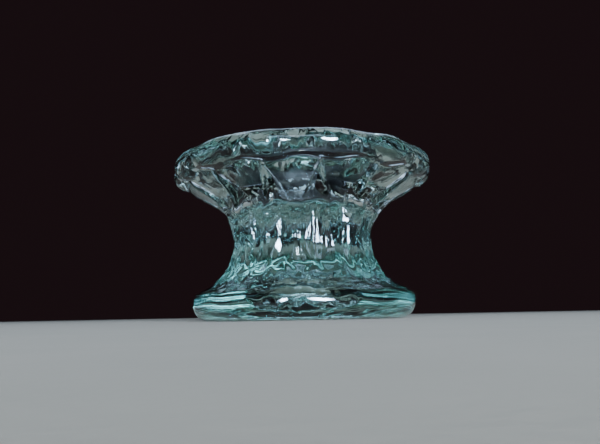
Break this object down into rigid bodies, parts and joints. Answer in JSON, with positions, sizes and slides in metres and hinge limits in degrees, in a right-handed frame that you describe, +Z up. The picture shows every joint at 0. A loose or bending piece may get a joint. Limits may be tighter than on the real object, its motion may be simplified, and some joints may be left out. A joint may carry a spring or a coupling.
{
  "type": "tealight holder",
  "caption": "Clear pressed-glass spool with a scalloped rim dish, fluted waist and round foot. A tealight stands in its top pocket, and a shallow hollow is pressed in underneath.",
  "frame": {"origin": "on the spool's axis at the table, in the plane of the foot's flat underside", "axes": "+Z up along the axis, -Y the front, +X to the right seen from the front"},
  "size_m": [0.0806, 0.0802, 0.0517],
  "materials": {
    "soda_lime_glass": "clear pressed glass with a blue-green tint, fire polished",
    "cup_aluminium": "thin drawn sheet, satin black lacquer",
    "candle_wax": "white paraffin wax, slightly translucent",
    "wick_cotton": "braided cotton, waxed",
    "clip_tinplate": "stamped tinplate"
  },
  "bodies": {
    "holder": {"glass_holder": "soda_lime_glass"},
    "tealight": {"tealight_cup": "cup_aluminium", "tealight_wax": "candle_wax", "wick": "wick_cotton", "wick_clip": "clip_tinplate"}
  },
  "joints": [
    {"name": "tealight_lift", "type": "slide", "parent": "holder", "child": "tealight", "axis": [0, 0, 1], "range_m": [0, 0.04]}
  ]
}
